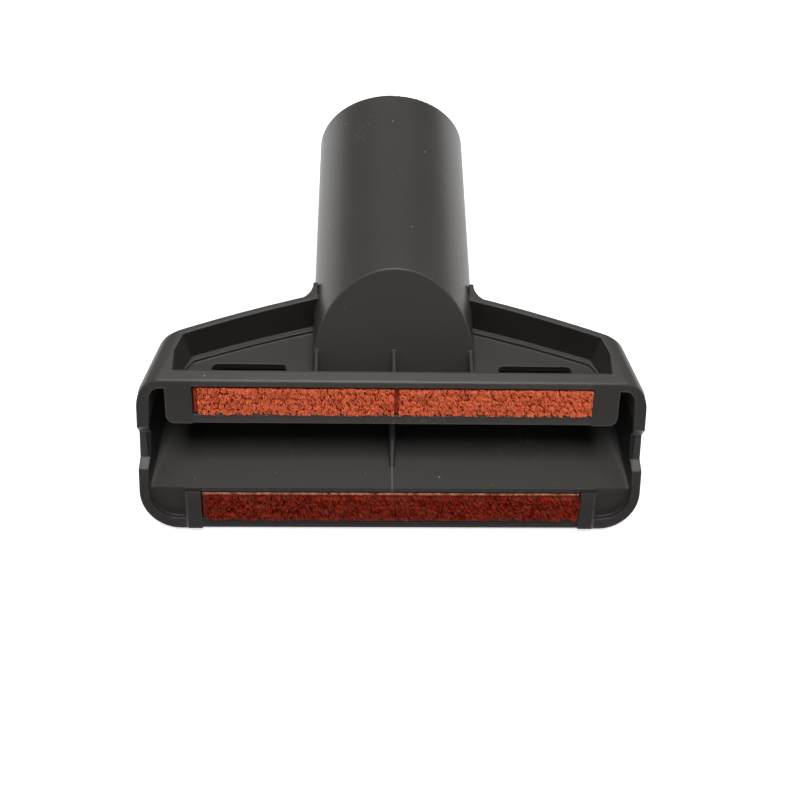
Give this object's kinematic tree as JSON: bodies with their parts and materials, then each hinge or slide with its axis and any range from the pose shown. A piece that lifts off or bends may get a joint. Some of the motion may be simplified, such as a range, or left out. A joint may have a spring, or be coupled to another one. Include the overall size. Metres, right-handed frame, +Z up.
{
  "type": "vacuum upholstery nozzle",
  "caption": "Charcoal plastic vacuum upholstery nozzle with a slanted tube socket and red thread-lifter strips on its sole.",
  "frame": {"origin": "middle of the bounding box's bottom face, on the surface that the nozzle lies on", "axes": "+X across the mouth, +Y from the mouth towards the tube's open end, +Z up from the surface; the sole faces -Y and up"},
  "size_m": [0.1222, 0.1066, 0.0429],
  "materials": {
    "charcoal_plastic": "satin, fine mould grain",
    "red_backing": "flat woven backing tape",
    "red_pile": "short directional pile"
  },
  "bodies": {
    "root": {"nozzle_body": "charcoal_plastic", "rear_lifter_backing": "red_backing", "rear_left_pile_pad": "red_pile", "rear_right_pile_pad": "red_pile", "front_lifter_backing": "red_backing", "front_left_pile_pad": "red_pile", "front_right_pile_pad": "red_pile"}
  },
  "joints": []
}
